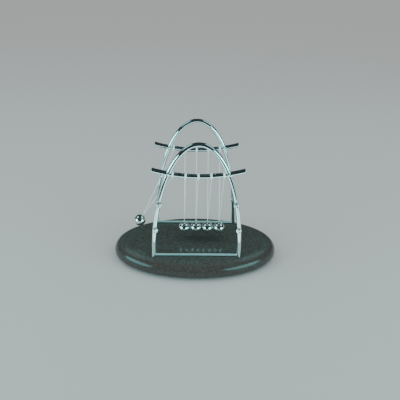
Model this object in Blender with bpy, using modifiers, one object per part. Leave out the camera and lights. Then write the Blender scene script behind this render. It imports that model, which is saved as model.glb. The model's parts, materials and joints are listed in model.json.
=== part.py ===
"""Newton's cradle: five steel balls on V-shaped threads between two arched wire frames on an oval base.

Metres, +Z up. The origin is the bottom centre of the base, +X runs along the base's long axis and the
row of balls, and -Y is the front. The first ball, at -X, is held up at the end of its swing.
"""

import math

import bmesh
import bpy
from mathutils import Matrix

# Driving dimensions
GAP = 0.0003  # between pieces that touch
BALL_COUNT = 5
BALL_D = 0.0127
BALL_PITCH = BALL_D + GAP
BALL_HEIGHT = 0.0144  # centre of a hanging ball above the base's top
RAISED_ANGLE = math.radians(28)  # of the first ball, from hanging

BASE_LENGTH = 0.1830
BASE_WIDTH = 0.1120
BASE_TOP = 0.0200  # top face above the ground
BASE_TOP_ROUND = 0.0125
BASE_FOOT_ROUND = 0.0060
PAD_THICK = 0.0010
PAD_INSET = 0.0195  # from the base's outline to the pad's

ROD_D = 0.0047  # arch rod
ROD_PAST_NUT = 0.0012
ARCH_Y = 0.0360  # arch planes lie at -ARCH_Y and +ARCH_Y
ARCH_HALF_WIDTH = 0.0457
ARCH_RISE = 0.1279  # apex of the rod's centre line above the base's top
ARCH_POWER = 2.1

BAR_D = 0.0050
BAR_HEIGHT = 0.0940  # lowest point of its centre line above the base's top
BAR_BOW = 0.0067  # rise of the tips over that point
BAR_HALF_SPAN = 0.0474
BOTTOM_BAR_D = 0.0024

COLLAR_D = 0.0062
COLLAR_WIDTH = 0.0020
COLLAR_CHAMFER = 0.00015
THREAD_D = 0.0005
THREAD_SLACK = 0.0002  # from the eyelet's centre down to the thread
PIVOT_DROP = 0.0036  # from the crossbar's centre line to the threads' top ends

EYELET_RADIUS = 0.0011
EYELET_WIRE_R = 0.00035
EYELET_STEM_R = 0.0007
EYELET_STEM_DEPTH = 0.0025  # into the ball

STUD_HEIGHTS = (0.0332, 0.0630)  # above the base's top
STUD_INSET = 0.0006  # towards the inside of the arch
STUD_HEAD_R = 0.0028
STUD_HEAD_THICK = 0.0020
STUD_SHANK_R = 0.0008

COUNTERBORE_R = 0.0046
COUNTERBORE_DEPTH = 0.0090
NUT_ACROSS_FLATS = 0.0070
NUT_THICK = 0.0040
WASHER_R = 0.0042
WASHER_THICK = 0.0010

# Worked out from them
BALL_R = BALL_D / 2
ROD_R = ROD_D / 2
BAR_R = BAR_D / 2
BASE_BOTTOM = PAD_THICK + GAP
LEDGE_Z = BASE_BOTTOM + COUNTERBORE_DEPTH
WASHER_TOP = LEDGE_Z - GAP
NUT_TOP = WASHER_TOP - WASHER_THICK - GAP
ROD_END_Z = NUT_TOP - NUT_THICK - ROD_PAST_NUT
ROD_HOLE_R = ROD_R + GAP
BAR_ARC_R = (BAR_HALF_SPAN**2 + BAR_BOW**2) / (2 * BAR_BOW)
EYELET_HEIGHT = BALL_R + GAP + EYELET_RADIUS + EYELET_WIRE_R  # ring's centre above the ball's
THREAD_LOW = EYELET_HEIGHT - THREAD_SLACK  # threads' lowest point above the ball's centre

PARTS = "newtons_cradle"
CUTTERS = "newtons_cradle_cutters"


def clear_scene():
    for obj in list(bpy.data.objects):
        bpy.data.objects.remove(obj, do_unlink=True)
    for name in (PARTS, CUTTERS):
        bpy.context.scene.collection.children.link(bpy.data.collections.new(name))


def material(name, color, roughness, metallic):
    mat = bpy.data.materials.new(name)
    mat.use_nodes = True
    shader = mat.node_tree.nodes["Principled BSDF"]
    shader.inputs["Base Color"].default_value = (*color, 1)
    shader.inputs["Roughness"].default_value = roughness
    shader.inputs["Metallic"].default_value = metallic
    return mat


def move_to(obj, collection):
    for old in list(obj.users_collection):
        old.objects.unlink(obj)
    bpy.data.collections[collection].objects.link(obj)


def finish_piece(obj, name, mat, smooth_angle=math.radians(35)):
    """Names a mesh object, gives it its material and smooth shading, and files it with the parts."""
    obj.name = name
    obj.data.name = name
    obj.data.materials.clear()
    obj.data.materials.append(mat)
    obj.data.shade_smooth()
    obj.data.set_sharp_from_angle(angle=smooth_angle)
    move_to(obj, PARTS)
    return obj


def finish_cutter(obj, name):
    obj.name = name
    obj.hide_render = True
    obj.display_type = "WIRE"
    move_to(obj, CUTTERS)
    return obj


def parent_to(parent, *children):
    for child in children:
        child.parent = parent


def baked(obj):
    """Replaces the object's mesh and modifiers by the mesh that they make."""
    bpy.context.view_layer.update()
    graph = bpy.context.evaluated_depsgraph_get()
    mesh = bpy.data.meshes.new_from_object(obj.evaluated_get(graph))
    obj.modifiers.clear()
    obj.data = mesh
    return obj


def cut(obj, cutter, operation="DIFFERENCE"):
    modifier = obj.modifiers.new(cutter.name, "BOOLEAN")
    modifier.operation = operation
    modifier.object = cutter
    modifier.solver = "EXACT"


def cylinder(radius, depth, location=(0, 0, 0), rotation=(0, 0, 0), vertices=20):
    bpy.ops.mesh.primitive_cylinder_add(
        radius=radius, depth=depth, location=location, rotation=rotation, vertices=vertices
    )
    return bpy.context.object


def oval_slab(length, width, low, high, vertices=72):
    """An elliptical slab between two heights, with its scale in its mesh."""
    slab = cylinder(0.5, 1, (0, 0, (low + high) / 2), vertices=vertices)
    slab.data.transform(Matrix.Diagonal((length, width, high - low, 1)))
    return slab


def turned(profile, steps=24, closed=False):
    """Turns (radius, height) points, which run down the outer side, about Z."""
    count = len(profile)
    edges = [(i, i + 1) for i in range(count - 1)]
    if closed:
        edges.append((count - 1, 0))
    mesh = bpy.data.meshes.new("profile")
    mesh.from_pydata([(radius, 0, height) for radius, height in profile], edges, [])
    obj = bpy.data.objects.new("turned", mesh)
    bpy.context.scene.collection.objects.link(obj)
    screw = obj.modifiers.new("Screw", "SCREW")
    screw.steps = steps
    screw.render_steps = steps
    screw.use_merge_vertices = True
    screw.merge_threshold = 0.000001
    return obj


def wire_curve(points, radius, bevel_resolution):
    curve = bpy.data.curves.new("wire", "CURVE")
    curve.dimensions = "3D"
    curve.bevel_depth = radius
    curve.bevel_resolution = bevel_resolution
    curve.use_fill_caps = True
    spline = curve.splines.new("POLY")
    spline.points.add(len(points) - 1)
    for point, place in zip(spline.points, points):
        point.co = (*place, 1)
    obj = bpy.data.objects.new("wire", curve)
    bpy.context.scene.collection.objects.link(obj)
    return obj


def wire_mesh(points, radius, bevel_resolution=4):
    """A round wire as a closed mesh, which Boolean modifiers can use."""
    source = wire_curve(points, radius, bevel_resolution)
    bpy.context.view_layer.update()
    graph = bpy.context.evaluated_depsgraph_get()
    mesh = bpy.data.meshes.new_from_object(source.evaluated_get(graph))
    work = bmesh.new()
    work.from_mesh(mesh)
    bmesh.ops.remove_doubles(work, verts=work.verts, dist=0.000001)
    work.to_mesh(mesh)
    work.free()
    obj = bpy.data.objects.new("wire", mesh)
    obj.matrix_world = source.matrix_world
    bpy.context.scene.collection.objects.link(obj)
    bpy.data.objects.remove(source)
    return obj


def leg_x(height):
    """Half width of the arch's centre line at a height above the base's top."""
    return ARCH_HALF_WIDTH * math.sqrt(1 - (height / ARCH_RISE) ** ARCH_POWER)


def bar_z(x):
    """Height of the crossbar's centre line: a circular arc, lowest in the middle."""
    return BASE_TOP + BAR_HEIGHT + BAR_ARC_R - math.sqrt(BAR_ARC_R**2 - x**2)


def ball_x(index):
    return (index - (BALL_COUNT - 1) / 2) * BALL_PITCH


def arch_points(y, intervals=36):
    """The arch rod from its left end in the base, over the top, to its right end."""
    points = [(-ARCH_HALF_WIDTH, y, ROD_END_Z)]
    for i in range(intervals + 1):
        turn = math.pi * (1 - i / intervals)
        rise = max(math.sin(turn), 0) ** (2 / ARCH_POWER)
        points.append((ARCH_HALF_WIDTH * math.cos(turn), y, BASE_TOP + ARCH_RISE * rise))
    points.append((ARCH_HALF_WIDTH, y, ROD_END_Z))
    return points


def feet():
    """(name ending, x, y) of the four places where the arches stand in the base."""
    for depth, y in (("front", -ARCH_Y), ("rear", ARCH_Y)):
        for side, x in (("left", -ARCH_HALF_WIDTH), ("right", ARCH_HALF_WIDTH)):
            yield f"{depth}_{side}", x, y


def make_base(black, felt):
    slab = oval_slab(BASE_LENGTH, BASE_WIDTH, BASE_BOTTOM, BASE_TOP)
    weights = slab.data.attributes.new("bevel_weight_edge", "FLOAT", "EDGE")
    vertices = slab.data.vertices
    for edge in slab.data.edges:
        heights = [vertices[i].co.z for i in edge.vertices]
        if min(heights) > 0:
            weights.data[edge.index].value = 1
        elif max(heights) < 0:
            weights.data[edge.index].value = BASE_FOOT_ROUND / BASE_TOP_ROUND
    rounding = slab.modifiers.new("Bevel", "BEVEL")
    rounding.limit_method = "WEIGHT"
    rounding.width = BASE_TOP_ROUND
    rounding.segments = 5
    for ending, x, y in feet():
        profile = [
            (0, BASE_TOP + 0.001),
            (ROD_HOLE_R, BASE_TOP + 0.001),
            (ROD_HOLE_R, LEDGE_Z),
            (COUNTERBORE_R, LEDGE_Z),
            (COUNTERBORE_R, BASE_BOTTOM - 0.001),
            (0, BASE_BOTTOM - 0.001),
        ]
        cutter = finish_cutter(turned(profile), f"foot_hole_{ending}")
        cutter.location = (x, y, 0)
        cut(slab, cutter)
    finish_piece(slab, "base", black)
    pad = oval_slab(BASE_LENGTH - 2 * PAD_INSET, BASE_WIDTH - 2 * PAD_INSET, 0, PAD_THICK)
    finish_piece(pad, "felt_pad", felt)


def make_fasteners(steel):
    """A washer and a nut under the base on the threaded end of each arch leg."""
    bore = cylinder(ROD_HOLE_R, 3 * NUT_THICK)
    hexagon = cylinder(NUT_ACROSS_FLATS / math.sqrt(3), NUT_THICK, vertices=6)
    cut(hexagon, bore)
    nut = baked(hexagon).data
    disc = cylinder(WASHER_R, WASHER_THICK)
    cut(disc, bore)
    washer = baked(disc).data
    for obj in (bore, hexagon, disc):
        bpy.data.objects.remove(obj)
    for ending, x, y in feet():
        for name, mesh, top, thick in (
            ("washer", washer, WASHER_TOP, WASHER_THICK),
            ("nut", nut, NUT_TOP, NUT_THICK),
        ):
            obj = bpy.data.objects.new(name, mesh)
            obj.location = (x, y, top - thick / 2)
            finish_piece(obj, f"{name}_{ending}", steel)
            obj.data.name = name


def stud_profile():
    """A domed head over a plain shank, with the head's flat underside at height 0."""
    sphere_r = (STUD_HEAD_R**2 + STUD_HEAD_THICK**2) / (2 * STUD_HEAD_THICK)
    edge_angle = math.acos(1 - STUD_HEAD_THICK / sphere_r)
    points = []
    steps = 4
    for i in range(steps + 1):
        angle = edge_angle * i / steps
        height = STUD_HEAD_THICK - sphere_r + sphere_r * math.cos(angle)
        points.append((sphere_r * math.sin(angle), height))
    shank_end = -(ROD_D + GAP)
    return points + [(STUD_SHANK_R, 0), (STUD_SHANK_R, shank_end), (0, shank_end)]


def make_studs(depth, y, arch, chrome):
    """Two domed studs through each leg of an arch, with their heads to the front."""
    for level, height in zip(("lower", "upper"), STUD_HEIGHTS):
        for side, sign in (("left", -1), ("right", 1)):
            ending = f"{depth}_{side}_{level}"
            x = sign * (leg_x(height) - STUD_INSET)
            z = BASE_TOP + height
            hole = cylinder(STUD_SHANK_R + GAP, 3 * ROD_D, (x, y, z), (math.pi / 2, 0, 0), 16)
            cut(arch, finish_cutter(hole, f"stud_hole_{ending}"))
            stud = finish_piece(turned(stud_profile(), 14), f"stud_{ending}", chrome)
            stud.rotation_euler = (math.pi / 2, 0, 0)
            stud.location = (x, y - ROD_R - GAP, z)


def bar_points(y, low_x, high_x, intervals):
    points = []
    for i in range(intervals + 1):
        x = low_x + (high_x - low_x) * i / intervals
        points.append((x, y, bar_z(x)))
    return points


def crossing_x():
    """Half distance between the places where the crossbar's and the arch's centre lines meet."""
    low, high = 0, ARCH_HALF_WIDTH
    for _ in range(40):
        middle = (low + high) / 2
        if leg_x(bar_z(middle) - BASE_TOP) > middle:
            low = middle
        else:
            high = middle
    return low


def make_crossbar(depth, y, dark_metal):
    """The bowed bar between an arch's legs, and its two tips outside them."""
    meet = crossing_x()
    saddle = wire_mesh(arch_points(y), ROD_R + GAP, 6)
    finish_cutter(saddle, f"saddle_{depth}")
    pieces = (
        (f"{depth}_crossbar", -meet, meet, 16),
        (f"{depth}_bar_tip_left", -BAR_HALF_SPAN, -meet, 5),
        (f"{depth}_bar_tip_right", meet, BAR_HALF_SPAN, 5),
    )
    for name, low_x, high_x, intervals in pieces:
        bar = wire_mesh(bar_points(y, low_x, high_x, intervals), BAR_R)
        cut(bar, saddle)
        finish_piece(bar, name, dark_metal)


def make_collars(depth, y, nylon):
    """The five rings on a crossbar that hold the threads' top ends."""
    half = COLLAR_WIDTH / 2
    outer = COLLAR_D / 2
    profile = [
        (BAR_R + GAP, half),
        (outer - COLLAR_CHAMFER, half),
        (outer, half - COLLAR_CHAMFER),
        (outer, COLLAR_CHAMFER - half),
        (outer - COLLAR_CHAMFER, -half),
        (BAR_R + GAP, -half),
    ]
    for index in range(BALL_COUNT):
        collar = finish_piece(turned(profile, 16, closed=True), f"{depth}_collar_{index + 1}", nylon)
        x = ball_x(index)
        collar.rotation_euler = (0, math.pi / 2 - math.asin(x / BAR_ARC_R), 0)
        collar.location = (x, y, bar_z(x))


def make_frames(chrome, dark_metal, nylon):
    for depth, y in (("front", -ARCH_Y), ("rear", ARCH_Y)):
        arch = wire_mesh(arch_points(y), ROD_R)
        make_studs(depth, y, arch, chrome)
        finish_piece(arch, f"{depth}_arch", chrome)
        length = 2 * (ARCH_HALF_WIDTH - ROD_R - GAP)
        height = BASE_TOP + GAP + BOTTOM_BAR_D / 2
        bottom_bar = cylinder(BOTTOM_BAR_D / 2, length, (0, y, height), (0, math.pi / 2, 0), 16)
        finish_piece(bottom_bar, f"{depth}_bottom_bar", chrome)
        make_crossbar(depth, y, dark_metal)
        make_collars(depth, y, nylon)


def ball_mesh():
    work = bmesh.new()
    bmesh.ops.create_uvsphere(work, u_segments=20, v_segments=12, radius=BALL_R)
    mesh = bpy.data.meshes.new("ball")
    work.to_mesh(mesh)
    work.free()
    return mesh


def make_eyelet(number, swing, ball_z, steel):
    """A wire ring on a stem that goes into the top of the ball."""
    bpy.ops.mesh.primitive_torus_add(
        major_radius=EYELET_RADIUS,
        minor_radius=EYELET_WIRE_R,
        major_segments=16,
        minor_segments=6,
    )
    ring = bpy.context.object
    ring.data.transform(Matrix.Rotation(math.pi / 2, 4, "X"))
    stem_top = EYELET_HEIGHT - EYELET_RADIUS
    stem_low = BALL_R - EYELET_STEM_DEPTH
    stem = cylinder(EYELET_STEM_R, stem_top - stem_low, (0, 0, (stem_top + stem_low) / 2), vertices=10)
    finish_cutter(stem, f"eyelet_stem_{number}")
    stem.location.z += ball_z
    ring.location.z = ball_z + EYELET_HEIGHT
    cut(ring, stem, "UNION")
    finish_piece(ring, f"eyelet_{number}", steel)
    parent_to(swing, stem, ring)


def make_thread(number, swing, ball_z, thread_material):
    """One thread from the front collar down through the eyelet and up to the rear collar."""
    low = (0, 0, ball_z + THREAD_LOW)
    thread = wire_curve([(0, -ARCH_Y, 0), low, (0, ARCH_Y, 0)], THREAD_D / 2, 2)
    thread.name = f"thread_{number}"
    thread.data.name = thread.name
    thread.data.materials.append(thread_material)
    move_to(thread, PARTS)
    parent_to(swing, thread)


def make_balls(chrome, steel, thread_material):
    """Each ball, its eyelet and its thread hang from an empty on the line between its two collars."""
    for index in range(BALL_COUNT):
        number = index + 1
        swing = bpy.data.objects.new(f"ball_{number}_swing", None)
        bpy.data.collections[PARTS].objects.link(swing)
        pivot_z = bar_z(ball_x(index)) - PIVOT_DROP
        swing.location = (ball_x(index), 0, pivot_z)
        if index == 0:
            swing.rotation_euler = (0, RAISED_ANGLE, 0)
        ball_z = BASE_TOP + BALL_HEIGHT - pivot_z
        ball = finish_piece(bpy.data.objects.new("ball", ball_mesh()), f"ball_{number}", chrome)
        ball.location.z = ball_z
        hole_depth = EYELET_STEM_DEPTH + GAP
        hole = cylinder(EYELET_STEM_R + GAP, 2 * hole_depth, (0, 0, ball_z + BALL_R), vertices=10)
        finish_cutter(hole, f"eyelet_hole_{number}")
        cut(ball, hole)
        parent_to(swing, ball, hole)
        make_eyelet(number, swing, ball_z, steel)
        make_thread(number, swing, ball_z, thread_material)


def main():
    clear_scene()
    black = material("base_black", (0.02, 0.027, 0.026), 0.18, 0.0)
    felt = material("felt", (0.03, 0.03, 0.03), 0.95, 0.0)
    chrome = material("chrome", (0.82, 0.84, 0.85), 0.06, 1.0)
    dark_metal = material("dark_chrome", (0.36, 0.38, 0.40), 0.08, 1.0)
    steel = material("plated_steel", (0.70, 0.71, 0.72), 0.25, 1.0)
    nylon = material("collar_nylon", (0.72, 0.76, 0.75), 0.35, 0.0)
    thread_material = material("thread_nylon", (0.85, 0.88, 0.88), 0.3, 0.0)
    make_base(black, felt)
    make_fasteners(steel)
    make_frames(chrome, dark_metal, nylon)
    make_balls(chrome, steel, thread_material)


main()
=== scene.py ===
"""The finished look of the Newton's cradle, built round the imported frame.

Metres, +Z up, -Y is the front. Every fixed piece rides on the body "frame", and each ball, its
eyelet and its thread ride on that ball's own body.
"""

import json
import math

import bmesh
import bpy
from mathutils import Matrix, Vector


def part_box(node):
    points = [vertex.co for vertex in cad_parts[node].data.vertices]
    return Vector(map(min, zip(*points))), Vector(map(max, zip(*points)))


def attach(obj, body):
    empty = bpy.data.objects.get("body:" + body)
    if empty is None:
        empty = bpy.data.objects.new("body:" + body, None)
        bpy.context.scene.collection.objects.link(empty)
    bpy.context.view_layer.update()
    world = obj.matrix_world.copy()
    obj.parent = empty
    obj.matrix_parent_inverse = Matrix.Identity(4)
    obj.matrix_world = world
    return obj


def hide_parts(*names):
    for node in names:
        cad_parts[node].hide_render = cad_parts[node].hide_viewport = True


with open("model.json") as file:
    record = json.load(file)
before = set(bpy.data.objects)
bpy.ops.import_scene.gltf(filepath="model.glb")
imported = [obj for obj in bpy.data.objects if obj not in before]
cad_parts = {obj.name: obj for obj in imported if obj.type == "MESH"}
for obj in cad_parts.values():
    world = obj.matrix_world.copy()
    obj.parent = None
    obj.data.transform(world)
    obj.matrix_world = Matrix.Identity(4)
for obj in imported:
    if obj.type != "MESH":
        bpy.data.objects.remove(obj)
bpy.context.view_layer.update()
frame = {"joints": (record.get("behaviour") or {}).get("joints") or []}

# Camera
CAMERA_TARGET = Vector((0.0038, 0.0, 0.0692))
CAMERA_DISTANCE = 0.5856
CAMERA_AZIMUTH = math.radians(2.51)
CAMERA_ELEVATION = math.radians(27)
CAMERA_ROLL = math.radians(-1.7)
CAMERA_LENS_MM = 47.94
SENSOR_MM = 36

# Light: the radiance of each source, and its place as azimuth and elevation in degrees
SIDE_BOX_COLOR = (0.40, 1.0, 0.98)
SIDE_BOX_RADIANCE = 6.5
SIDE_BOX_ELEVATION = 11
SIDE_BOX_HEIGHT = 0.42
SIDE_BOX_AZIMUTH_AND_WIDTH = {"left": (-64, 0.84), "right": (50, 0.86)}
HIGH_BOX_COLOR = (0.60, 0.98, 1.0)
HIGH_BOX_RADIANCE = 1.1
HIGH_BOX_AZIMUTH = 100
HIGH_BOX_ELEVATION = 52
HIGH_BOX_SIZE = (0.75, 0.55)
BOX_DISTANCE = 1.0
BOX_AIM = Vector((0, 0, 0.05))
FILL_ENERGY = 3.0
FILL_ANGLE = math.radians(140)
FILL_AZIMUTH = -14
FILL_ELEVATION = 60
TABLE_COLOR = (0.68, 1.0, 1.0)
TABLE_RADIANCE = 1.3
TABLE_SIZE = (0.30, 0.11)
TABLE_GAP = 0.008  # from the front arch's plane to the light table
WORLD_COLOR = (0.10, 0.125, 0.13)
WORLD_STRENGTH = 0.35

# Floor, and the dark sheet on it, which starts at an azimuth and turns through an angle in degrees
FLOOR_RADIUS = 6
FLOOR_COLOR = (0.50, 0.505, 0.505)
DARK_SHEET_COLOR = (0.03, 0.036, 0.037)
DARK_SHEET_INNER = 0.165
DARK_SHEET_OUTER = 4.0
DARK_SHEET_HEIGHT = 0.0005
DARK_SHEET_START = -58
DARK_SHEET_TURN = 110

# Sizes that the frame's boxes don't give
BALL_COUNT = 5
BALL_D = 0.0127
BASE_TOP_ROUND = 0.0125
BASE_FOOT_ROUND = 0.0060
ARCH_POWER = 2.1
BAR_BOW = 0.0067
BAR_HALF_SPAN = 0.0474
THREAD_R = 0.00025
KNOT_R = 0.00058
EYELET_RADIUS = 0.0011
EYELET_WIRE_R = 0.00035
EYELET_ABOVE_BALL = 0.00175  # ring's centre above the ball's top
WELD_R = 0.00055
STUD_HEAD_R = 0.0028
STUD_HEAD_THICK = 0.0020
STUD_PIN_HOLE_R = 0.00068
STUD_PIN_HOLE_OFFSET = 0.00135
STUD_PIN_HOLE_SHIFT = 0.00075  # of both holes, towards the outside of the arch
STUD_HEAD_ROUND = 0.0009
STUD_SHANK_R = 0.0008
STUD_SHANK_ROUND = 0.0003
COUNTERBORE_R = 0.0046
COUNTERBORE_TOP = 0.0103
SCREW_LENGTH = 0.0062
SCREW_PITCH = 0.0007
SCREW_DEPTH = 0.0004
BALL_FLAT_R = 0.0010
COLLAR_ROUND = 0.00035
BAR_END_ROUND = 0.0007

# How finely round shapes are divided
TUBE_SIDES = 40
LATHE_STEPS = 64
OUTLINE_STEPS = 240
BEAD_STEPS = 48


# ---------------------------------------------------------------- positions from the frame


def box_center(node):
    low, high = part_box(node)
    return (low + high) / 2


def box_size(node):
    low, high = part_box(node)
    return high - low


BALL_R = BALL_D / 2
BASE_LOW, BASE_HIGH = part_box("base")
BASE_TOP = BASE_HIGH.z
ROD_R = box_size("front_arch").y / 2
BAR_R = box_size("front_crossbar").y / 2
COLLAR_R = box_size("front_collar_3").y / 2
COLLAR_WIDTH = box_size("front_collar_3").x
BOTTOM_BAR_R = box_size("front_bottom_bar").z / 2
ARCH_HALF_WIDTH = box_size("front_arch").x / 2 - ROD_R
ARCH_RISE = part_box("front_arch")[1].z - ROD_R - BASE_TOP
ROD_END_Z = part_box("front_arch")[0].z
BAR_LOW_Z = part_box("front_crossbar")[0].z + BAR_R
BAR_ARC_R = (BAR_HALF_SPAN**2 + BAR_BOW**2) / (2 * BAR_BOW)
ARCH_Y = {"front": box_center("front_arch").y, "rear": box_center("rear_arch").y}
PIVOTS = {joint["child"]: Vector(joint["pos_m"]) for joint in frame["joints"]}


def bar_point(x, y):
    """A point on a crossbar's centre line, which is a circular arc."""
    return Vector((x, y, BAR_LOW_Z + BAR_ARC_R - math.sqrt(BAR_ARC_R**2 - x**2)))


def bar_direction(x):
    angle = math.asin(x / BAR_ARC_R)
    return Vector((math.cos(angle), 0, math.sin(angle)))


def leg_x(z):
    """Half width of an arch's centre line at a height in the row frame."""
    return ARCH_HALF_WIDTH * math.sqrt(1 - ((z - BASE_TOP) / ARCH_RISE) ** ARCH_POWER)


def crossing():
    """Where the right-hand leg's centre line crosses the crossbar's, at Y = 0, and the leg's direction."""
    low, high = 0, ARCH_HALF_WIDTH
    halvings = 40
    for _ in range(halvings):
        x = (low + high) / 2
        if leg_x(bar_point(x, 0).z) > x:
            low = x
        else:
            high = x
    point = bar_point(x, 0)
    step = 0.001
    direction = Vector((leg_x(point.z + step) - leg_x(point.z - step), 0, 2 * step))
    return point, direction.normalized()


# ---------------------------------------------------------------- materials


class Nodes:
    """A material's node tree, with short calls for the nodes used here."""

    def __init__(self, name):
        self.material = bpy.data.materials.new(name)
        self.material.use_nodes = True
        self.tree = self.material.node_tree
        self.shader = self.tree.nodes["Principled BSDF"]
        coordinates = self.tree.nodes.new("ShaderNodeTexCoord")
        self.place = coordinates.outputs["Object"]

    def set(self, **values):
        for name, value in values.items():
            self.shader.inputs[name.replace("_", " ")].default_value = value

    def link(self, output, socket):
        self.tree.links.new(output, socket)

    def feed(self, name, output):
        """Connects a value to one of the shader's own sockets."""
        self.link(output, self.shader.inputs[name])

    def stretched(self, scale):
        mapping = self.tree.nodes.new("ShaderNodeMapping")
        mapping.inputs["Scale"].default_value = scale
        self.link(self.place, mapping.inputs["Vector"])
        return mapping.outputs["Vector"]

    def noise(self, scale, detail=3.0, roughness=0.5, vector=None):
        node = self.tree.nodes.new("ShaderNodeTexNoise")
        node.inputs["Scale"].default_value = scale
        node.inputs["Detail"].default_value = detail
        node.inputs["Roughness"].default_value = roughness
        self.link(vector or self.place, node.inputs["Vector"])
        return node.outputs["Fac"]

    def ramp(self, value, stops):
        node = self.tree.nodes.new("ShaderNodeValToRGB")
        elements = node.color_ramp.elements
        while len(elements) < len(stops):
            elements.new(0.5)
        for element, (position, color) in zip(elements, stops):
            element.position = position
            element.color = (*color, 1)
        self.link(value, node.inputs["Fac"])
        return node.outputs["Color"]

    def range(self, value, low, high, from_low=0.3, from_high=0.7):
        node = self.tree.nodes.new("ShaderNodeMapRange")
        node.inputs["From Min"].default_value = from_low
        node.inputs["From Max"].default_value = from_high
        node.inputs["To Min"].default_value = low
        node.inputs["To Max"].default_value = high
        self.link(value, node.inputs["Value"])
        return node.outputs["Result"]

    def mix(self, factor, first, second):
        node = self.tree.nodes.new("ShaderNodeMix")
        node.data_type = "RGBA"
        self.link(factor, node.inputs["Factor"])
        self.link(first, node.inputs["A"])
        self.link(second, node.inputs["B"])
        return node.outputs["Result"]

    def height(self):
        node = self.tree.nodes.new("ShaderNodeSeparateXYZ")
        self.link(self.place, node.inputs["Vector"])
        return node.outputs["Z"]

    def product(self, first, second):
        node = self.tree.nodes.new("ShaderNodeMath")
        node.operation = "MULTIPLY"
        self.link(first, node.inputs[0])
        self.link(second, node.inputs[1])
        return node.outputs["Value"]

    def bump(self, height, strength, distance):
        node = self.tree.nodes.new("ShaderNodeBump")
        node.inputs["Strength"].default_value = strength
        node.inputs["Distance"].default_value = distance
        self.link(height, node.inputs["Height"])
        self.feed("Normal", node.outputs["Normal"])


def polished_metal(name, color, shade, low_roughness, high_roughness, wear_scale=260, metallic=1.0):
    """Bright plated metal: faint clouding, patches of finer and coarser polish, and hairline scratches."""
    nodes = Nodes(name)
    nodes.set(Metallic=metallic)
    clouds = nodes.noise(wear_scale, detail=4)
    dull = tuple(channel * shade for channel in color)
    nodes.feed("Base Color", nodes.ramp(clouds, ((0.35, dull), (0.62, color))))
    wear = nodes.noise(wear_scale * 2.3, detail=5, roughness=0.6)
    nodes.feed("Roughness", nodes.range(wear, low_roughness, high_roughness))
    scratches = nodes.noise(900, detail=6, roughness=0.7, vector=nodes.stretched((1, 1, 0.12)))
    nodes.bump(scratches, 0.04, 0.00004)
    return nodes.material


def zinc_plate():
    """Dull zinc on the nuts and washers, with fine turning marks."""
    nodes = Nodes("zinc_plate")
    nodes.set(Metallic=1.0)
    patches = nodes.noise(700, detail=4)
    nodes.feed("Base Color", nodes.ramp(patches, ((0.35, (0.48, 0.49, 0.50)), (0.65, (0.74, 0.74, 0.72)))))
    nodes.feed("Roughness", nodes.range(patches, 0.42, 0.22))
    turning = nodes.noise(2600, detail=2, vector=nodes.stretched((1, 1, 0.05)))
    nodes.bump(turning, 0.25, 0.00005)
    return nodes.material


def black_lacquer():
    """Deep polished black with a very fine mottling of dark brown specks, with greenish-grey specks mixed in
    only on the flat top and fading out over its last 4 mm; this greenish-grey tint is a painted reflection of
    the dark teal-grey surroundings that the top mirrors.
    """
    nodes = Nodes("black_lacquer")
    nodes.set(IOR=1.38, Specular_Tint=(0.78, 1.0, 0.99, 1))
    hue = nodes.noise(380, detail=4, roughness=0.6)
    brown = nodes.noise(1150, detail=4, roughness=0.65)
    painted_reflection_noise = nodes.noise(900, detail=4, roughness=0.65)
    # Painted reflection: the greenish-grey specks show only on the flat top, so the top reads teal-grey and
    # the rounded rim stays brown.
    height = nodes.range(nodes.height(), 0.0, 1.0, BASE_TOP - 0.004, BASE_TOP)
    grains_and_painted_reflection = nodes.mix(
        nodes.product(nodes.range(hue, 0.0, 1.0, 0.38, 0.58), height),
        nodes.ramp(brown, ((0.36, (0.018, 0.016, 0.015)), (0.66, (0.086, 0.073, 0.067)))),
        nodes.ramp(painted_reflection_noise, ((0.36, (0.022, 0.032, 0.029)), (0.66, (0.082, 0.110, 0.100)))),
    )
    nodes.feed("Base Color", grains_and_painted_reflection)
    haze = nodes.noise(60, detail=6, roughness=0.6)
    nodes.feed("Roughness", nodes.range(haze, 0.11, 0.18))
    nodes.bump(nodes.noise(420, detail=2), 0.03, 0.00006)
    return nodes.material


def satin_nylon():
    """Pale, slightly translucent nylon of the rings and knots."""
    nodes = Nodes("satin_nylon")
    nodes.set(Subsurface_Weight=0.15, Subsurface_Scale=0.0006, IOR=1.53)
    tone = nodes.noise(600, detail=3)
    nodes.feed("Base Color", nodes.ramp(tone, ((0.35, (0.72, 0.80, 0.78)), (0.65, (0.84, 0.89, 0.87)))))
    nodes.feed("Roughness", nodes.range(tone, 0.28, 0.42))
    nodes.bump(nodes.noise(3000, detail=2), 0.15, 0.00004)
    return nodes.material


def nylon_line():
    """Clear nylon line, which looks pale: slightly milky, with fine marks along it."""
    nodes = Nodes("nylon_line")
    nodes.set(Transmission_Weight=0.1, IOR=1.53, Specular_IOR_Level=0.6)
    milk = nodes.noise(900, detail=3, vector=nodes.stretched((1, 1, 0.2)))
    nodes.feed("Base Color", nodes.ramp(milk, ((0.3, (0.84, 0.90, 0.90)), (0.7, (0.94, 0.97, 0.97)))))
    nodes.feed("Roughness", nodes.range(milk, 0.22, 0.36))
    nodes.bump(nodes.noise(5000, detail=2), 0.1, 0.00002)
    return nodes.material


def dark_recess():
    """Near-black painted shade for the insides of the small pin holes."""
    nodes = Nodes("dark_recess")
    nodes.set(Specular_IOR_Level=0.1)
    recess_shade_noise = nodes.noise(2000, detail=4)
    nodes.feed("Base Color", nodes.ramp(recess_shade_noise, ((0.35, (0.004, 0.005, 0.005)), (0.65, (0.016, 0.018, 0.018)))))
    nodes.feed("Roughness", nodes.range(recess_shade_noise, 0.7, 0.9))
    return nodes.material


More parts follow.
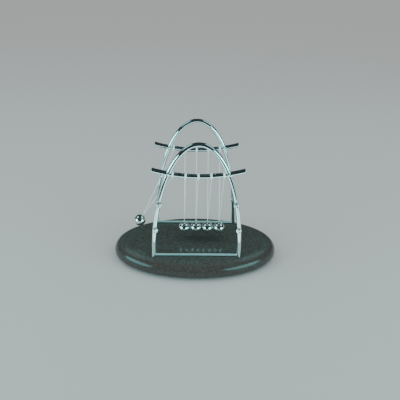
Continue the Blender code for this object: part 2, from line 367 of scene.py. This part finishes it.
def black_felt():
    """Fuzzy black felt with a soft sheen."""
    nodes = Nodes("black_felt")
    nodes.set(Sheen_Weight=0.7, Sheen_Roughness=0.6, Specular_IOR_Level=0.15)
    fibres = nodes.noise(2200, detail=8, roughness=0.75)
    nodes.feed("Base Color", nodes.ramp(fibres, ((0.3, (0.008, 0.008, 0.009)), (0.7, (0.045, 0.046, 0.050)))))
    nodes.feed("Roughness", nodes.range(fibres, 0.85, 1.0))
    nodes.bump(fibres, 0.9, 0.0003)
    return nodes.material


CHROME = polished_metal("chrome_wire", (0.77, 0.90, 0.91), 0.93, 0.035, 0.075)
# The crossbars' chrome is a little darker than the arches': painted shade for the darker look of the bars.
DARKENED_BAR_CHROME = polished_metal("chrome_bar", (0.74, 0.88, 0.90), 0.90, 0.04, 0.08)
BALL_STEEL = polished_metal("ball_steel", (0.86, 0.90, 0.89), 0.96, 0.015, 0.045, wear_scale=180)
STUD_STEEL = polished_metal("satin_stud", (0.80, 0.90, 0.90), 0.90, 0.26, 0.34)
SATIN_WIRE = polished_metal("satin_wire", (0.50, 0.80, 0.82), 0.92, 0.26, 0.36, metallic=0.65)
EYELET_STEEL = polished_metal("eyelet_wire", (0.78, 0.82, 0.81), 0.9, 0.10, 0.18, wear_scale=500)
ZINC = zinc_plate()
LACQUER = black_lacquer()
NYLON = satin_nylon()
LINE = nylon_line()
FELT = black_felt()
RECESS = dark_recess()


# ---------------------------------------------------------------- mesh helpers


def add_object(name, data):
    """A new object in the scene with the given mesh, light or camera."""
    obj = bpy.data.objects.new(name, data)
    bpy.context.scene.collection.objects.link(obj)
    return obj


def mesh_object(name, vertices, faces):
    mesh = bpy.data.meshes.new(name)
    mesh.from_pydata([tuple(vertex) for vertex in vertices], [], faces)
    return add_object(name, mesh)


def finish_piece(obj, body, material, nodes=(), smooth_angle=math.radians(32)):
    """Shades a piece, gives it its material and body, and hides the CAD nodes that it stands for."""
    obj.data.materials.clear()
    obj.data.materials.append(material)
    obj.data.shade_smooth()
    obj.data.set_sharp_from_angle(angle=smooth_angle)
    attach(obj, body)
    if nodes:
        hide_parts(*nodes)


def bridge(faces, first, second, count):
    """Adds the quads between two rings of the same number of vertices, given by their first vertex."""
    for i in range(count):
        j = (i + 1) % count
        faces.append((first + i, first + j, second + j, second + i))


def ring_frames(points, closed):
    """(point, side, up) along a path, with the frame carried along so that it doesn't twist."""
    count = len(points)
    tangents = []
    for i, point in enumerate(points):
        before = points[i - 1] if i > 0 or closed else point
        after = points[(i + 1) % count] if i < count - 1 or closed else point
        tangents.append((after - before).normalized())
    side = tangents[0].orthogonal().normalized()
    frames = []
    for point, tangent in zip(points, tangents):
        side = (side - tangent * side.dot(tangent)).normalized()
        frames.append((point, side, tangent.cross(side)))
    return frames


def tube(name, points, radii, sides=TUBE_SIDES, closed=False):
    """A round tube along a path, with one radius for each point."""
    vertices = []
    for (point, side, up), radius in zip(ring_frames(points, closed), radii):
        for i in range(sides):
            angle = math.tau * i / sides
            vertices.append(point + radius * (math.cos(angle) * side + math.sin(angle) * up))
    faces = []
    for ring in range(len(points) - 1):
        bridge(faces, ring * sides, (ring + 1) * sides, sides)
    if closed:
        bridge(faces, (len(points) - 1) * sides, 0, sides)
    else:
        faces.append(tuple(range(sides - 1, -1, -1)))
        last = (len(points) - 1) * sides
        faces.append(tuple(range(last, last + sides)))
    obj = mesh_object(name, vertices, faces)
    fix_normals(obj)
    return obj


def round_end(points, radius, rounding, steps=6):
    """Adds rings that round off the last end of a path, and returns the points and their radii.

    The path is made longer by the rounding radius.
    """
    radii = [radius] * len(points)
    end = points[-1]
    outward = (end - points[-2]).normalized()
    for i in range(1, steps + 1):
        angle = math.pi / 2 * i / steps
        radii.append(radius - rounding * (1 - math.cos(angle)))
        points.append(end + outward * rounding * math.sin(angle))
    return points, radii


def turned(name, profile, steps=LATHE_STEPS, closed=False):
    """Turns (radius, height) points about Z. Points on the axis become one vertex."""
    on_axis = 1e-7
    vertices = []
    rings = []
    for radius, height in profile:
        if radius < on_axis:
            rings.append((len(vertices), 1))
            vertices.append((0, 0, height))
            continue
        rings.append((len(vertices), steps))
        for i in range(steps):
            angle = math.tau * i / steps
            vertices.append((radius * math.cos(angle), radius * math.sin(angle), height))
    faces = []
    pairs = list(zip(rings, rings[1:]))
    if closed:
        pairs.append((rings[-1], rings[0]))
    for (first, first_count), (second, second_count) in pairs:
        if first_count == second_count == steps:
            bridge(faces, first, second, steps)
        elif first_count == 1:
            faces += [(first, second + i, second + (i + 1) % steps) for i in range(steps)]
        else:
            faces += [(first + i, second, first + (i + 1) % steps) for i in range(steps)]
    obj = mesh_object(name, vertices, faces)
    fix_normals(obj)
    return obj


def fix_normals(obj):
    """Turns all the faces outwards."""
    work = bmesh.new()
    work.from_mesh(obj.data)
    bmesh.ops.recalc_face_normals(work, faces=work.faces)
    work.to_mesh(obj.data)
    work.free()


def arc(center, radius, start, end, steps):
    """Points of a circular arc, with angles in degrees from the first coordinate's axis."""
    angles = [math.radians(start + (end - start) * i / steps) for i in range(steps + 1)]
    return [(center[0] + radius * math.cos(a), center[1] + radius * math.sin(a)) for a in angles]


def boolean(obj, other, operation):
    """Unites, cuts or intersects obj with other for good, and removes other."""
    modifier = obj.modifiers.new("Boolean", "BOOLEAN")
    modifier.operation = operation
    modifier.object = other
    modifier.solver = "EXACT"
    bpy.context.view_layer.update()
    graph = bpy.context.evaluated_depsgraph_get()
    mesh = bpy.data.meshes.new_from_object(obj.evaluated_get(graph))
    obj.modifiers.clear()
    obj.data = mesh
    bpy.data.objects.remove(other)


# ---------------------------------------------------------------- base and what is under it


def oval_ring(inset, height, count):
    """Points of the base's outline moved inwards by a distance, at a height."""
    half_length = (BASE_HIGH.x - BASE_LOW.x) / 2
    half_width = (BASE_HIGH.y - BASE_LOW.y) / 2
    points = []
    for i in range(count):
        angle = math.tau * i / count
        outward = Vector((math.cos(angle) / half_length, math.sin(angle) / half_width, 0)).normalized()
        edge = Vector((half_length * math.cos(angle), half_width * math.sin(angle), height))
        points.append(edge - inset * outward)
    return points


def oval_solid(name, profile, count=OUTLINE_STEPS):
    """A solid with the base's outline. The profile is (inset, height) points from the top to the bottom."""
    vertices = []
    for inset, height in profile:
        vertices += oval_ring(inset, height, count)
    faces = [tuple(range(count))]
    for ring in range(len(profile) - 1):
        bridge(faces, ring * count, (ring + 1) * count, count)
    last = (len(profile) - 1) * count
    faces.append(tuple(range(last + count - 1, last - 1, -1)))
    obj = mesh_object(name, vertices, faces)
    fix_normals(obj)
    return obj


def foot_places():
    """(ending of the node names, x, y) of each arch leg."""
    for depth, y in ARCH_Y.items():
        for side, x in (("left", -ARCH_HALF_WIDTH), ("right", ARCH_HALF_WIDTH)):
            yield f"{depth}_{side}", x, y


def make_base():
    """The oval block with its rounded rim, and a hole with a counterbore for each arch leg."""
    top = arc((BASE_TOP_ROUND, BASE_TOP - BASE_TOP_ROUND), BASE_TOP_ROUND, 90, 180, 20)
    foot = arc((BASE_FOOT_ROUND, BASE_LOW.z + BASE_FOOT_ROUND), BASE_FOOT_ROUND, 180, 270, 12)
    base = oval_solid("oval_base", top + foot)
    hole_r = ROD_R + 0.00006
    beyond = 0.001
    for _, x, y in foot_places():
        drill = turned(
            "drill",
            [
                (0, BASE_TOP + beyond),
                (hole_r, BASE_TOP + beyond),
                (hole_r, COUNTERBORE_TOP),
                (COUNTERBORE_R, COUNTERBORE_TOP),
                (COUNTERBORE_R, BASE_LOW.z - beyond),
                (0, BASE_LOW.z - beyond),
            ],
        )
        drill.location = (x, y, 0)
        boolean(base, drill, "DIFFERENCE")
    finish_piece(base, "frame", LACQUER, ["base"])


def make_felt_pad():
    """A flat oval of felt under the base, with a slightly chamfered edge."""
    low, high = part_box("felt_pad")
    inset = high.x - BASE_HIGH.x
    edge = 0.0003
    profile = [(edge - inset, BASE_LOW.z), (-inset, BASE_LOW.z - edge), (-inset, edge), (edge - inset, 0)]
    pad = oval_solid("felt_pad_cloth", profile)
    finish_piece(pad, "frame", FELT, ["felt_pad"])


def make_fasteners():
    """A chamfered washer and hexagon nut on the threaded end of each arch leg."""
    bore_r = ROD_R + 0.00004
    edge = 0.00015
    for ending, x, y in foot_places():
        washer_low, washer_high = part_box(f"washer_{ending}")
        radius = (washer_high.x - washer_low.x) / 2
        washer = turned(
            f"plain_washer_{ending}",
            [
                (bore_r, washer_high.z),
                (radius - edge, washer_high.z),
                (radius, washer_high.z - edge),
                (radius, washer_low.z + edge),
                (radius - edge, washer_low.z),
                (bore_r, washer_low.z),
            ],
            closed=True,
        )
        washer.location = (x, y, 0)
        finish_piece(washer, "frame", ZINC, [f"washer_{ending}"])
        make_nut(ending, x, y, bore_r)


def make_nut(ending, x, y, bore_r):
    """A hexagon nut whose corners are cut down to a cone at both ends."""
    low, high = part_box(f"nut_{ending}")
    flats = high.x - low.x
    corner = flats / math.sqrt(3)
    bpy.ops.mesh.primitive_cylinder_add(
        vertices=6, radius=corner, depth=high.z - low.z, location=(0, 0, (low.z + high.z) / 2)
    )
    nut = bpy.context.object
    nut.name = f"hex_nut_{ending}"
    chamfer = 0.0006
    bore_chamfer = 0.0003
    margin = 0.0001
    face_r = flats / 2 - 0.0002
    envelope = turned(
        "envelope",
        [
            (bore_r + bore_chamfer, high.z + margin),
            (face_r, high.z + margin),
            (corner + margin, high.z - chamfer),
            (corner + margin, low.z + chamfer),
            (face_r, low.z - margin),
            (bore_r + bore_chamfer, low.z - margin),
            (bore_r, low.z + bore_chamfer),
            (bore_r, high.z - bore_chamfer),
        ],
        closed=True,
    )
    boolean(nut, envelope, "INTERSECT")
    nut.location = (x, y, (low.z + high.z) / 2)
    finish_piece(nut, "frame", ZINC, [f"nut_{ending}"], smooth_angle=math.radians(20))


# ---------------------------------------------------------------- arches and bars


def arch_path(y):
    """Left leg's threaded end, the curve of the arch, and the right leg's threaded end."""
    threaded_steps = 80
    left = []
    for i in range(threaded_steps + 1):
        left.append(Vector((-ARCH_HALF_WIDTH, y, ROD_END_Z + SCREW_LENGTH * i / threaded_steps)))
    curve = []
    intervals = 160
    for i in range(intervals + 1):
        turn = math.pi * (1 - i / intervals)
        rise = max(math.sin(turn), 0) ** (2 / ARCH_POWER)
        curve.append(Vector((ARCH_HALF_WIDTH * math.cos(turn), y, BASE_TOP + ARCH_RISE * rise)))
    right = [Vector((-point.x, y, point.z)) for point in reversed(left)]
    return left + curve + right


def rod_radius(point):
    """The rod's radius, with the ridges of a screw thread near its ends."""
    runout, lead_in, lead_in_depth = 0.0003, 0.0004, 0.00045
    height = point.z - ROD_END_Z
    if height > SCREW_LENGTH - runout:
        return ROD_R
    if height < lead_in:
        return ROD_R - lead_in_depth + height
    phase = (height / SCREW_PITCH) % 1
    return ROD_R - SCREW_DEPTH * (1 - abs(2 * phase - 1))


def make_arch(depth, y):
    points = arch_path(y)
    arch = tube(f"{depth}_arch_rod", points, [rod_radius(point) for point in points])
    finish_piece(arch, "frame", CHROME, [f"{depth}_arch"], smooth_angle=math.radians(50))


def weld_ring(name, center, along, bar_r, across):
    """A small bead of weld round a bar, where it meets an arch leg that runs through center along across."""
    along = along.normalized()
    across = across.normalized()
    side = along.orthogonal().normalized()
    up = along.cross(side)
    flat = along - across * along.dot(across)
    points = []
    for i in range(BEAD_STEPS):
        angle = math.tau * i / BEAD_STEPS
        offset = bar_r * (math.cos(angle) * side + math.sin(angle) * up)
        offset_flat = offset - across * offset.dot(across)
        a = flat.length_squared
        b = flat.dot(offset_flat)
        c = offset_flat.length_squared - ROD_R**2
        reach = (-b + math.sqrt(max(b * b - a * c, 0))) / a
        points.append(center + reach * along + offset)
    ring = tube(name, points, [WELD_R] * BEAD_STEPS, sides=16, closed=True)
    finish_piece(ring, "frame", CHROME)


def make_bottom_bar(depth, y):
    """The thin straight bar between an arch's feet, and the weld at each end."""
    height = box_center(f"{depth}_bottom_bar").z
    steps = 30
    points = []
    for i in range(steps + 1):
        points.append(Vector((ARCH_HALF_WIDTH * (2 * i / steps - 1), y, height)))
    bar = tube(f"{depth}_bottom_rod", points, [BOTTOM_BAR_R] * len(points))
    finish_piece(bar, "frame", SATIN_WIRE, [f"{depth}_bottom_bar"])
    for side, sign in (("left", -1), ("right", 1)):
        center = Vector((sign * ARCH_HALF_WIDTH, y, height))
        inward = Vector((-sign, 0, 0))
        weld_ring(f"weld_{depth}_bottom_{side}", center, inward, BOTTOM_BAR_R, Vector((0, 0, 1)))


def bar_path(y, low_x, high_x, steps):
    """Points along a crossbar's centre line."""
    return [bar_point(low_x + (high_x - low_x) * i / steps, y) for i in range(steps + 1)]


def make_crossbar(depth, y):
    """The bowed bar between the legs, its two tips, and the welds on both sides of each leg."""
    meet, leg_direction = crossing()
    middle_path = bar_path(y, -meet.x, meet.x, 60)
    middle = tube(f"{depth}_bowed_bar", middle_path, [BAR_R] * len(middle_path))
    finish_piece(middle, "frame", DARKENED_BAR_CHROME, [f"{depth}_crossbar"])
    end_x = BAR_HALF_SPAN - BAR_END_ROUND
    for side, sign in (("left", -1), ("right", 1)):
        tip_path = bar_path(y, sign * meet.x, sign * end_x, 20)
        points, radii = round_end(tip_path, BAR_R, BAR_END_ROUND)
        tip = tube(f"{depth}_bowed_tip_{side}", points, radii)
        finish_piece(tip, "frame", DARKENED_BAR_CHROME, [f"{depth}_bar_tip_{side}"])
        center = Vector((sign * meet.x, y, meet.z))
        leg = Vector((sign * leg_direction.x, 0, leg_direction.z))
        outward = Vector((sign * bar_direction(meet.x).x, 0, bar_direction(meet.x).z))
        weld_ring(f"weld_{depth}_outer_{side}", center, outward, BAR_R, leg)
        weld_ring(f"weld_{depth}_inner_{side}", center, -outward, BAR_R, leg)


def make_collars(depth, y):
    """Nylon rings on the crossbar, each with a small nub underneath that the thread comes out of."""
    half = COLLAR_WIDTH / 2
    edge = COLLAR_ROUND
    bore = BAR_R - 0.0001
    profile = (
        [(bore, half)]
        + arc((COLLAR_R - edge, half - edge), edge, 90, 0, 6)
        + arc((COLLAR_R - edge, edge - half), edge, 0, -90, 6)
        + [(bore, -half)]
    )
    for number in range(1, BALL_COUNT + 1):
        pivot = PIVOTS[f"ball_{number}"]
        node = f"{depth}_collar_{number}"
        ring = turned(f"{node}_ring", profile, closed=True)
        tilt = math.pi / 2 - math.asin(pivot.x / BAR_ARC_R)
        place = Matrix.Translation(bar_point(pivot.x, y)) @ Matrix.Rotation(tilt, 4, "Y")
        ring.data.transform(place)
        finish_piece(ring, "frame", NYLON, [node])
        knot_points = arc((0, 0), KNOT_R, 90, -90, 16)
        knot = turned(f"{node}_knot", knot_points, steps=32)
        knot.location = (pivot.x, y, pivot.z)
        finish_piece(knot, "frame", NYLON)


def stud_head_profile():
    """Half the head's outline, from the middle of its flat face to the middle of its back."""
    rounding = STUD_HEAD_ROUND
    edge = arc((STUD_HEAD_R - rounding, STUD_HEAD_THICK - rounding), rounding, 90, 0, 12)
    back = [(STUD_HEAD_R, 0.0002), (STUD_HEAD_R - 0.0004, -0.0004), (0.0, -0.0004)]
    return [(0, STUD_HEAD_THICK)] + edge + back


def stud_mesh():
    """A head with a flat face, a round edge, and two small pin holes, one above the other."""
    head = turned("stud_head", stud_head_profile())
    drill_top, drill_shoulder, drill_tip = 0.004, 0.0005, 0.0003
    drill_profile = [
        (0, drill_top),
        (STUD_PIN_HOLE_R, drill_top),
        (STUD_PIN_HOLE_R, drill_shoulder),
        (0, drill_tip),
    ]
    for sign in (-1, 1):
        drill = turned("drill", drill_profile, steps=24)
        drill.location = (-STUD_PIN_HOLE_SHIFT, sign * STUD_PIN_HOLE_OFFSET, 0)
        boolean(head, drill, "DIFFERENCE")
    mesh = head.data
    bpy.data.objects.remove(head)
    return mesh, pin_hole_faces(mesh)


def pin_hole_faces(mesh):
    """The numbers of the faces inside the two pin holes."""
    inside = []
    limit_r = 1.01 * STUD_PIN_HOLE_R
    limit_z = STUD_HEAD_THICK - 0.00001
    for face in mesh.polygons:
        x, y, z = face.center
        away = math.hypot(x + STUD_PIN_HOLE_SHIFT, abs(y) - STUD_PIN_HOLE_OFFSET)
        if away < limit_r and 0 < z < limit_z:
            inside.append(face.index)
    return inside


def make_studs(depth, mesh, hole_faces):
    """The heads face the front, and a short shank behind each one reaches into the leg."""
    for side in ("left", "right"):
        for level in ("lower", "upper"):
            node = f"stud_{depth}_{side}_{level}"
            low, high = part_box(node)
            stud = add_object(f"{node}_head", mesh.copy())
            half_turn = Matrix.Rotation(math.pi if side == "right" else 0, 4, "Z")
            stud.data.transform(Matrix.Rotation(math.pi / 2, 4, "X") @ half_turn)
            center_x = (low.x + high.x) / 2
            center_z = (low.z + high.z) / 2
            stud.location = (center_x, low.y + STUD_HEAD_THICK, center_z)
            finish_piece(stud, "frame", STUD_STEEL, [node])
            # The faces inside the pin holes get the near-black painted shade.
            stud.data.materials.append(RECESS)
            for face in hole_faces:
                stud.data.polygons[face].material_index = 1
            shank_start = Vector((center_x, low.y + STUD_HEAD_THICK, center_z))
            shank_end = Vector((center_x, high.y, center_z))
            points, radii = round_end([shank_start, shank_end], STUD_SHANK_R, STUD_SHANK_ROUND)
            shank = tube(f"{node}_shank", points, radii, sides=24)
            finish_piece(shank, "frame", STUD_STEEL)


# ---------------------------------------------------------------- balls


def hanging_place(number):
    """The matrix from coordinates with the pivot at zero and the ball straight below to the row frame."""
    pivot = PIVOTS[f"ball_{number}"]
    center = box_center(f"ball_{number}")
    angle = math.atan2(pivot.x - center.x, pivot.z - center.z)
    return Matrix.Translation(pivot) @ Matrix.Rotation(angle, 4, "Y"), (pivot - center).length


def make_ball(number, place, drop):
    """A steel ball with a small flat spot on top for the eyelet."""
    flat_z = math.sqrt(BALL_R**2 - BALL_FLAT_R**2)
    first = math.degrees(math.acos(BALL_FLAT_R / BALL_R))
    profile = [(0, flat_z)] + arc((0, 0), BALL_R, first, -90, 72)
    profile[-1] = (0, -BALL_R)
    ball = turned(f"ball_{number}_steel", profile, steps=96)
    ball.data.transform(place @ Matrix.Translation((0, 0, -drop)))
    finish_piece(ball, f"ball_{number}", BALL_STEEL, [f"ball_{number}"])


def make_eyelet(number, place, drop):
    """A wire ring on a short neck with a flange that sits on the ball's flat spot."""
    ring_z = BALL_R + EYELET_ABOVE_BALL
    circle = []
    for i in range(BEAD_STEPS):
        angle = math.tau * i / BEAD_STEPS
        circle.append(Vector((EYELET_RADIUS * math.sin(angle), 0, ring_z + EYELET_RADIUS * math.cos(angle))))
    ring = tube(f"ball_{number}_eyelet", circle, [EYELET_WIRE_R] * BEAD_STEPS, sides=20, closed=True)
    neck_top = ring_z - EYELET_RADIUS
    neck_low = BALL_R - 0.00025
    neck_profile = [
        (0, neck_top),
        (0.00034, neck_top),
        (0.00040, neck_top - 0.00025),
        (0.00055, BALL_R + 0.00018),
        (0.00085, BALL_R + 0.00010),
        (0.00095, BALL_R),
        (0.00090, neck_low),
        (0, neck_low),
    ]
    neck = turned("neck", neck_profile, steps=32)
    boolean(ring, neck, "UNION")
    ring.data.transform(place @ Matrix.Translation((0, 0, -drop)))
    finish_piece(ring, f"ball_{number}", EYELET_STEEL, [f"eyelet_{number}"])


def make_thread(number, place, drop):
    """From the front knot down to the eyelet, through it just under the ring's top, and up to the rear."""
    low_z = BALL_R + EYELET_ABOVE_BALL + EYELET_RADIUS - EYELET_WIRE_R - THREAD_R - drop
    bend_y = 0.0007
    front = Vector((0, ARCH_Y["front"], 0))
    rear = Vector((0, ARCH_Y["rear"], 0))
    slope = low_z / ARCH_Y["front"]
    bend_rise = slope * bend_y / 2
    points = []
    straight_steps = 12
    bend_steps = 12
    bend_start = Vector((0, -bend_y, low_z + bend_rise))
    for i in range(straight_steps):
        points.append(front.lerp(bend_start, i / straight_steps))
    for i in range(bend_steps + 1):
        y = bend_y * (2 * i / bend_steps - 1)
        points.append(Vector((0, y, low_z + bend_rise * (y / bend_y) ** 2)))
    bend_end = Vector((0, bend_y, low_z + bend_rise))
    for i in range(1, straight_steps + 1):
        points.append(bend_end.lerp(rear, i / straight_steps))
    thread = tube(f"ball_{number}_thread", points, [THREAD_R] * len(points), sides=16)
    thread.data.transform(place)
    nodes = [f"thread_{number}"]
    finish_piece(thread, f"ball_{number}", LINE, nodes, smooth_angle=math.radians(60))


# ---------------------------------------------------------------- floor, light and camera


def make_floor():
    bpy.ops.mesh.primitive_circle_add(vertices=96, radius=FLOOR_RADIUS, fill_type="NGON", location=(0, 0, 0))
    floor = bpy.context.object
    floor.name = "floor"
    nodes = Nodes("pale_floor")
    nodes.set(Roughness=0.75, Specular_IOR_Level=0.2)
    nodes.shader.inputs["Base Color"].default_value = (*FLOOR_COLOR, 1)
    floor.data.materials.append(nodes.material)


def aim(obj, target):
    obj.rotation_euler = (Vector(target) - obj.location).to_track_quat("-Z", "Y").to_euler()


def direction(azimuth, elevation):
    """A unit vector. Azimuth 0 is the front and grows towards +X, and both angles are in degrees."""
    azimuth, elevation = math.radians(azimuth), math.radians(elevation)
    return Vector(
        (
            math.sin(azimuth) * math.cos(elevation),
            -math.cos(azimuth) * math.cos(elevation),
            math.sin(elevation),
        )
    )


def soft_box(name, azimuth, elevation, width, height, radiance, color):
    """An oval soft box that faces the object and is seen only by its light and in reflections."""
    data = bpy.data.lights.new(name, "AREA")
    data.shape = "ELLIPSE"
    data.size = width
    data.size_y = height
    data.energy = radiance * math.pi * math.pi / 4 * width * height
    data.color = color
    light = add_object(name, data)
    light.location = BOX_DISTANCE * direction(azimuth, elevation)
    aim(light, BOX_AIM)
    light.visible_camera = False


def make_world():
    world = bpy.data.worlds.new("studio")
    world.use_nodes = True
    background = world.node_tree.nodes["Background"]
    background.inputs["Color"].default_value = (*WORLD_COLOR, 1)
    background.inputs["Strength"].default_value = WORLD_STRENGTH
    bpy.context.scene.world = world


def make_fill():
    """A very wide, even light from above the camera, which the metal doesn't mirror."""
    data = bpy.data.lights.new("front_fill", "SUN")
    data.energy = FILL_ENERGY
    data.angle = FILL_ANGLE
    fill = add_object("front_fill", data)
    fill.location = direction(FILL_AZIMUTH, FILL_ELEVATION)
    aim(fill, (0, 0, 0))
    fill.visible_glossy = False


def make_lights():
    make_world()
    for side, (azimuth, width) in SIDE_BOX_AZIMUTH_AND_WIDTH.items():
        soft_box(
            f"{side}_box",
            azimuth,
            SIDE_BOX_ELEVATION,
            width,
            SIDE_BOX_HEIGHT,
            SIDE_BOX_RADIANCE,
            SIDE_BOX_COLOR,
        )
    make_fill()
    for side, sign in (("left", -1), ("right", 1)):
        soft_box(
            f"high_{side}_box",
            sign * HIGH_BOX_AZIMUTH,
            HIGH_BOX_ELEVATION,
            *HIGH_BOX_SIZE,
            HIGH_BOX_RADIANCE,
            HIGH_BOX_COLOR,
        )
    make_light_table()
    make_dark_sheet()


def make_light_table():
    """A glowing table level with the balls' middles.

    It shines upwards, so the undersides of the bars mirror it, and the balls and the base don't.
    """
    data = bpy.data.lights.new("light_table", "AREA")
    data.shape = "RECTANGLE"
    data.size, data.size_y = TABLE_SIZE
    data.energy = TABLE_RADIANCE * math.pi * data.size * data.size_y
    data.color = TABLE_COLOR
    table = add_object("light_table", data)
    table.location = (0, ARCH_Y["front"] - TABLE_GAP - data.size_y / 2, box_center("ball_3").z)
    table.rotation_euler = (math.pi, 0, 0)
    table.visible_camera = False


def make_dark_sheet():
    """Black paper round the front, which keeps the far floor out of the metal and is seen only there."""
    steps = 24
    lift = Vector((0, 0, DARK_SHEET_HEIGHT))
    vertices = []
    for i in range(steps + 1):
        outward = direction(DARK_SHEET_START + DARK_SHEET_TURN * i / steps, 0)
        vertices += [DARK_SHEET_INNER * outward + lift, DARK_SHEET_OUTER * outward + lift]
    faces = [(2 * i, 2 * i + 1, 2 * i + 3, 2 * i + 2) for i in range(steps)]
    sheet = mesh_object("black_paper", vertices, faces)
    nodes = Nodes("black_paper")
    nodes.set(Roughness=1.0, Specular_IOR_Level=0.0)
    nodes.shader.inputs["Base Color"].default_value = (*DARK_SHEET_COLOR, 1)
    sheet.data.materials.append(nodes.material)
    sheet.visible_camera = False
    sheet.visible_diffuse = False
    sheet.visible_shadow = False


def make_camera():
    """A camera that looks at its target from the front, turned about its own axis by the roll."""
    cos_e, sin_e = math.cos(CAMERA_ELEVATION), math.sin(CAMERA_ELEVATION)
    cos_a, sin_a = math.cos(CAMERA_AZIMUTH), math.sin(CAMERA_AZIMUTH)
    forward = Vector((sin_a * cos_e, cos_a * cos_e, -sin_e))
    right = Vector((cos_a, -sin_a, 0))
    up = right.cross(forward)
    cos_r, sin_r = math.cos(CAMERA_ROLL), math.sin(CAMERA_ROLL)
    rolled_right = right * cos_r - up * sin_r
    rolled_up = right * sin_r + up * cos_r
    rotation = Matrix((rolled_right, rolled_up, -forward)).transposed().to_4x4()
    data = bpy.data.cameras.new("camera")
    data.lens = CAMERA_LENS_MM
    data.sensor_width = SENSOR_MM
    data.clip_start = 0.01
    data.clip_end = 30
    camera = add_object("camera", data)
    camera.matrix_world = Matrix.Translation(CAMERA_TARGET - CAMERA_DISTANCE * forward) @ rotation
    bpy.context.scene.camera = camera


make_camera()
make_floor()
make_lights()
make_base()
make_felt_pad()
make_fasteners()
shared_stud, stud_holes = stud_mesh()
for depth, y in ARCH_Y.items():
    make_arch(depth, y)
    make_bottom_bar(depth, y)
    make_crossbar(depth, y)
    make_collars(depth, y)
    make_studs(depth, shared_stud, stud_holes)
for number in range(1, BALL_COUNT + 1):
    place, drop = hanging_place(number)
    make_ball(number, place, drop)
    make_eyelet(number, place, drop)
    make_thread(number, place, drop)
